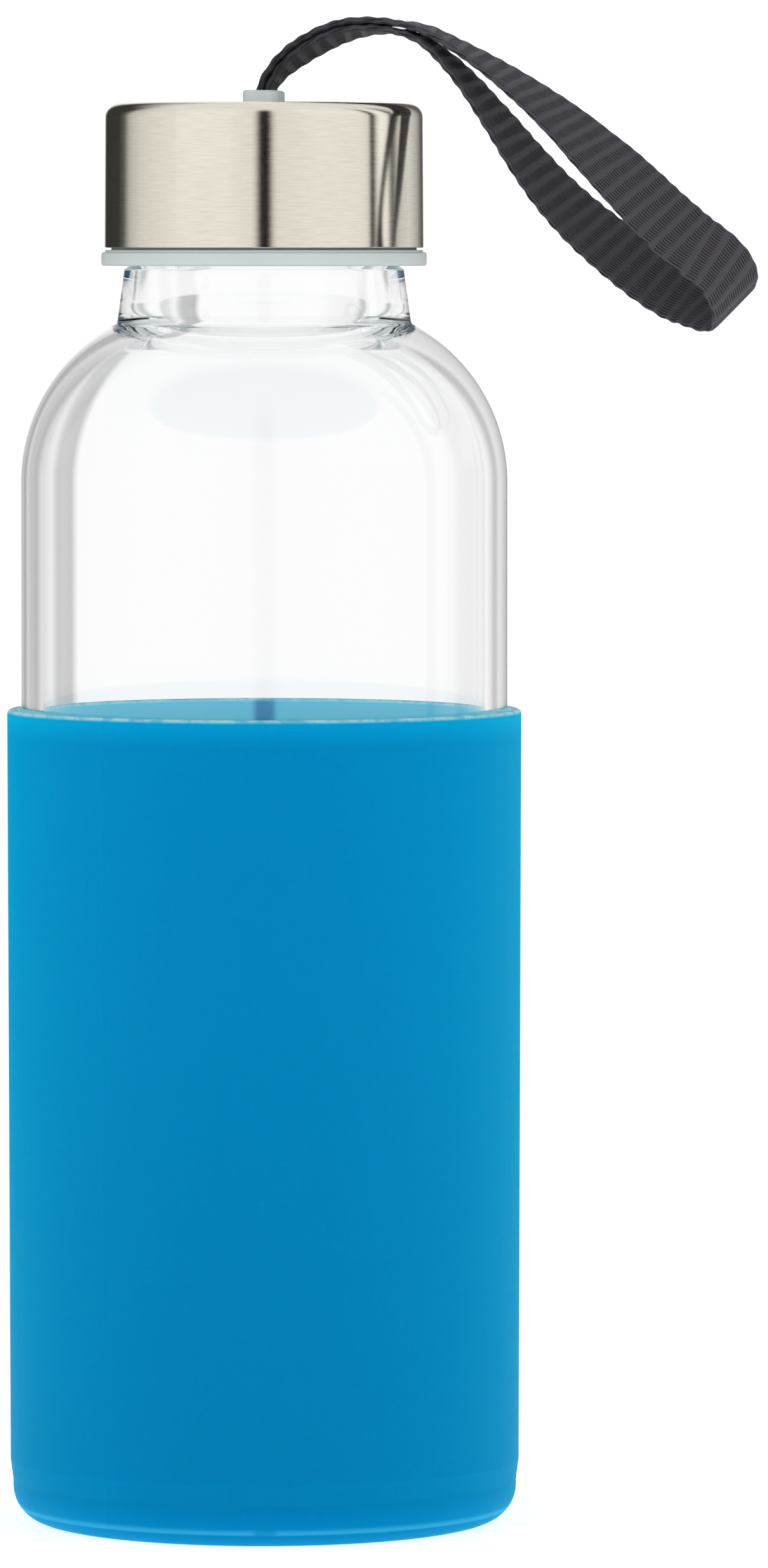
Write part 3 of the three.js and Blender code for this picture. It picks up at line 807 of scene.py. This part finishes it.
def rounded_rectangle_ring(width, depth, corner, z, angles):
    """A ring on a rounded rectangle that is turned with the collar, one point at each angle."""
    a, b = width / 2, depth / 2
    points = []
    for angle in angles - COLLAR_TURN:
        x, y = abs(math.cos(angle)), abs(math.sin(angle))
        reach = min(a / max(x, 1e-9), b / max(y, 1e-9))
        if reach * x > a - corner and reach * y > b - corner:
            to_centre = x * (a - corner) + y * (b - corner)
            off = (a - corner) ** 2 + (b - corner) ** 2 - corner**2
            reach = to_centre + math.sqrt(to_centre**2 - off)
        points.append((reach * math.cos(angle + COLLAR_TURN), reach * math.sin(angle + COLLAR_TURN), z))
    return np.array(points)


COLLAR_NECK = (4.7 * MM, 13.4 * MM)
COLLAR_ROUND = 2.2 * MM
COLLAR_PLATE = (9 * MM, 17 * MM)
SLOT = (2.6 * MM, 10.8 * MM)
SLOT_ROUND = 0.6 * MM
PLATE_ROUND = 2 * MM
HOLE_GAP = 0.25 * MM  # round the collar, in the steel


def steel_material():
    """Stainless steel brushed round the axis: fine level lines, and a highlight stretched upright."""
    nodes = Nodes("brushed_shell")
    place = nodes.place()
    separate = nodes.add("ShaderNodeSeparateXYZ")
    nodes.link(place, separate.inputs[0])
    turn = nodes.math("ARCTAN2", separate.outputs[0], separate.outputs[1])
    combine = nodes.add("ShaderNodeCombineXYZ")
    nodes.link(nodes.math("MULTIPLY", turn, 0.02), combine.inputs[0])
    nodes.link(separate.outputs[2], combine.inputs[2])
    streaks = nodes.add("ShaderNodeMapping")
    streaks.inputs["Scale"].default_value = (300, 1, 6500)
    nodes.link(combine.outputs[0], streaks.inputs["Vector"])
    brush = nodes.noise(streaks.outputs[0], 1.0, 4.0, 0.65)
    nodes.feed("Base Color", nodes.ramp(brush, [(0.3, (0.68, 0.64, 0.54)), (0.7, (0.81, 0.775, 0.675))]))
    nodes.feed("Roughness", nodes.remap(brush, 0.3, 0.7, 0.09, 0.16))
    nodes.set(Metallic=1.0, Anisotropic=0.8, Anisotropic_Rotation=0.25)
    tangent = nodes.add("ShaderNodeTangent", direction_type="RADIAL", axis="Z")
    nodes.link(tangent.outputs[0], nodes.shader.inputs["Tangent"])
    nodes.bump(brush, 0.25, 0.02 * MM)
    return nodes.material


def make_shell():
    angles = even_angles(240)
    top, low = SHELL_HIGH[2], SHELL_LOW[2]
    foot, inner_head = SHELL_HIGH[0], SHELL_HEAD - SHELL_WALL
    hole = (COLLAR_NECK[0] + 2 * HOLE_GAP, COLLAR_NECK[1] + 2 * HOLE_GAP, COLLAR_ROUND + HOLE_GAP)
    outside = rounded([
        (10 * MM, top), (SHELL_HEAD, top, SHELL_CORNER), (foot, low, 0.12 * MM),
        (foot - SHELL_WALL, low, 0.12 * MM),
        (inner_head, top - SHELL_WALL, SHELL_CORNER - SHELL_WALL), (10 * MM, top - SHELL_WALL),
    ], 10)
    rings = [circle(radius, z, angles) for radius, z in outside]
    edge = 0.1 * MM
    for z, widen in (
        (top - SHELL_WALL, edge), (top - SHELL_WALL + edge, 0), (top - edge, 0), (top, edge),
    ):
        width, depth, corner = hole[0] + 2 * widen, hole[1] + 2 * widen, hole[2] + widen
        rings.append(rounded_rectangle_ring(width, depth, corner, z, angles))
    shell = loft("cap_shell_steel", rings, steel_material())
    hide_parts("cap_shell")
    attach(shell, "cap")


def make_collar(material):
    angles = even_angles(200)
    top, low = COLLAR_HIGH[2], COLLAR_LOW[2]
    plate_top = low + 1.3 * MM
    edge = 0.35 * MM
    rings = []

    def ring(size, corner, z, shrink=0.0):
        rings.append(rounded_rectangle_ring(
            size[0] - 2 * shrink, size[1] - 2 * shrink, max(corner - shrink, 0.1 * MM), z, angles))

    ring(SLOT, SLOT_ROUND, low)
    ring(COLLAR_PLATE, PLATE_ROUND, low, 0.2 * MM)
    ring(COLLAR_PLATE, PLATE_ROUND, low + 0.2 * MM)
    ring(COLLAR_PLATE, PLATE_ROUND, plate_top - 0.2 * MM)
    ring(COLLAR_PLATE, PLATE_ROUND, plate_top, 0.2 * MM)
    ring(COLLAR_NECK, COLLAR_ROUND, plate_top)
    for k in range(7):
        turn = math.radians(15 * k)
        ring(COLLAR_NECK, COLLAR_ROUND, top - edge * (1 - math.sin(turn)), edge * (1 - math.cos(turn)))
    ring(SLOT, SLOT_ROUND, top, -0.12 * MM)
    ring(SLOT, SLOT_ROUND, top - 0.15 * MM)
    collar = loft("strap_collar_moulding", rings, material)
    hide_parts("strap_collar")
    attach(collar, "cap")


make_gasket()
make_inner_cap(plastic_material("cap_plastic", CAP_GLOW))
make_shell()
make_collar(plastic_material("collar_plastic", COLLAR_GLOW))


# ---- Studio ----

# Brightness of the studio round the bottle: degrees from the camera's side, positive to the right.
# White boxes with dark gaps between them draw the bands on the steel.
REFLECTED = [
    (-180, 1.0),
    (-172, 0.9),
    (-166, 0.12),
    (-160, 0.04),
    (-130, 0.05),
    (-122, 0.14),
    (-114, 0.62),
    (-100, 0.84),
    (-60, 1.04),
    (-30, 1.03),
    (-7.5, 0.97),
    (-4.6, 0.5),
    (-3.3, 0.0),
    (4.1, 0.0),
    (5.2, 0.6),
    (9, 0.95),
    (40, 1.02),
    (74, 1.0),
    (82, 0.9),
    (84, 0.0),
    (86.5, 0.0),
    (89.5, 0.8),
    (93, 1.15),
    (101, 1.1),
    (105, 0.2),
    (109, 0.2),
    (113, 0.7),
    (130, 0.82),
    (146, 0.5),
    (158, 0.14),
    (171, 0.12),
    (176, 1.0),
]
# What lights the rest, and what the glass bends into view: the gaps are soft, as the pale table fills them.
SOFT = [
    (-180, 0.985),
    (-170.9, 0.985),
    (-170.2, 0.47),
    (-165.5, 0.49),
    (-161.5, 0.93),
    (-155, 0.7),
    (-149, 0.56),
    (-146.5, 0.56),
    (-142, 0.78),
    (-136, 0.98),
    (-60, 1.05),
    (60, 1.05),
    (140, 1.0),
    (144.5, 0.86),
    (149.5, 0.5),
    (153.5, 0.5),
    (158, 0.88),
    (165, 0.88),
    (171, 0.92),
    (173, 0.985),
]
# How much the pale table washes out those gaps, by the sine of the height times 180.
TABLE = [(-180, 0), (-41, 0), (-36, 0.8), (-18, 0.8), (-12, 0), (180, 0)]
OVERHEAD = 0.12  # the ceiling as a light
OVERHEAD_SEEN = 0.98  # the ceiling as the glass and steel show it
FLOOR_GLOW = 0.76
FLOOR_RADIUS = 0.4
FLOOR_FADE = 0.2  # from here out the floor fades into the studio, so the glass has something to bend
BACKGROUND = 1.06  # what the camera sees behind everything
CLIMB = (0.5, 0.92)  # sines of the heights between which the walls turn into the ceiling
SOFTBOXES = (
    ("softbox_left", (-0.9, -0.9, 0.75), 1.2, 0.2),
    ("softbox_right", (0.9, -0.7, 0.9), 1.2, 0.25),
)
LIT_AT = Vector((0, 0, 0.1))  # where the softboxes point
BOUNCES = 32  # light runs a long way inside the glass before it comes out


class World:
    """Builds the studio's light as a world shader."""

    def __init__(self):
        SCENE.world = bpy.data.worlds.new("studio")
        SCENE.world.use_nodes = True
        SCENE.world.cycles.sampling_method = "NONE"  # so each kind of ray finds its own brightness
        self.tree = SCENE.world.node_tree
        self.tree.nodes.clear()

    def add(self, kind, inputs=(), **settings):
        """A node with its inputs filled: a number or colour is set, a socket is linked."""
        node = self.tree.nodes.new(kind)
        for key, value in settings.items():
            setattr(node, key, value)
        for key, value in dict(inputs).items():
            if isinstance(value, bpy.types.NodeSocket):
                self.tree.links.new(value, node.inputs[key])
            else:
                node.inputs[key].default_value = value
        return node

    def math(self, operation, a, b=0.0):
        return self.add("ShaderNodeMath", {0: a, 1: b}, operation=operation).outputs[0]

    def ring(self, share, stops):
        """Brightness by direction: share runs from 0 to 1 round the studio, starting behind."""
        node = self.add("ShaderNodeValToRGB", {0: share})
        elements = node.color_ramp.elements
        peak = max(level for _, level in stops)
        while len(elements) < len(stops):
            elements.new(0.5)
        for element, (degrees, level) in zip(elements, stops):
            element.position = degrees / 360 + 0.5
            element.color = (level / peak, level / peak, level / peak, 1)
        return self.math("MULTIPLY", node.outputs[0], peak)

    def light(self, level):
        return self.add("ShaderNodeBackground", {"Color": level}).outputs[0]


def make_world():
    world = World()
    direction = world.add("ShaderNodeTexCoord").outputs["Generated"]
    x, y, z = world.add("ShaderNodeSeparateXYZ", {0: direction}).outputs
    turn = world.math("ARCTAN2", x, world.math("MULTIPLY", y, -1.0))
    share = world.math("ADD", world.math("DIVIDE", turn, 2 * math.pi), 0.5)
    climb = world.add(
        "ShaderNodeMapRange", {0: z, 1: CLIMB[0], 2: CLIMB[1]}, interpolation_type="SMOOTHSTEP",
    )
    rays = world.add("ShaderNodeLightPath")
    height = world.math("ADD", world.math("MULTIPLY", z, 0.5), 0.5)
    soft = world.add("ShaderNodeMix", {0: world.ring(height, TABLE), 2: world.ring(share, SOFT), 3: 1.0})
    through = world.add("ShaderNodeMix", {
        0: world.math("SUBTRACT", rays.outputs["Is Glossy Ray"], rays.outputs["Is Transmission Ray"]),
        2: soft.outputs[0],
        3: world.ring(share, REFLECTED),
    }).outputs[0]
    ceiling = world.add("ShaderNodeMix", {
        0: rays.outputs["Is Diffuse Ray"], 2: OVERHEAD_SEEN, 3: OVERHEAD,
    }).outputs[0]
    walls = world.add("ShaderNodeMix", {0: climb.outputs[0], 2: through, 3: ceiling}).outputs[0]
    seen = world.add("ShaderNodeMixShader", {
        0: rays.outputs["Is Camera Ray"],
        1: world.light(walls),
        2: world.light((BACKGROUND, BACKGROUND, BACKGROUND, 1)),
    })
    world.add("ShaderNodeOutputWorld", {"Surface": seen.outputs[0]})


def make_floor():
    nodes = Nodes("floor")
    speckle = nodes.noise(nodes.place(), 40, 2.0)
    nodes.feed("Base Color", nodes.ramp(speckle, [(0.3, (0.59, 0.59, 0.59)), (0.7, (0.61, 0.61, 0.61))]))
    nodes.set(Roughness=0.9, Specular_IOR_Level=0.1, Emission_Strength=FLOOR_GLOW)
    nodes.shader.inputs["Emission Color"].default_value = (1, 1, 1, 1)
    nodes.feed("Alpha", nodes.remap(nodes.from_axis(), FLOOR_FADE, FLOOR_RADIUS, 1, 0))
    angles = even_angles(96)
    rings = [circle(radius, 0.0, angles) for radius in (0, FLOOR_FADE, FLOOR_RADIUS)]
    floor = loft("floor", rings, nodes.material, closed=False)
    floor.data.flip_normals()


def make_lights():
    for name, where, size, energy in SOFTBOXES:
        data = bpy.data.lights.new(name, "AREA")
        data.energy = energy
        data.size = size
        lamp = bpy.data.objects.new(name, data)
        lamp.location = where
        lamp.rotation_euler = (LIT_AT - Vector(where)).to_track_quat("-Z", "Y").to_euler()
        SCENE.collection.objects.link(lamp)


make_world()
make_floor()
make_lights()
SCENE.view_settings.view_transform = "Standard"
SCENE.cycles.glossy_bounces = BOUNCES
SCENE.cycles.transmission_bounces = BOUNCES
SCENE.cycles.max_bounces = BOUNCES + 8
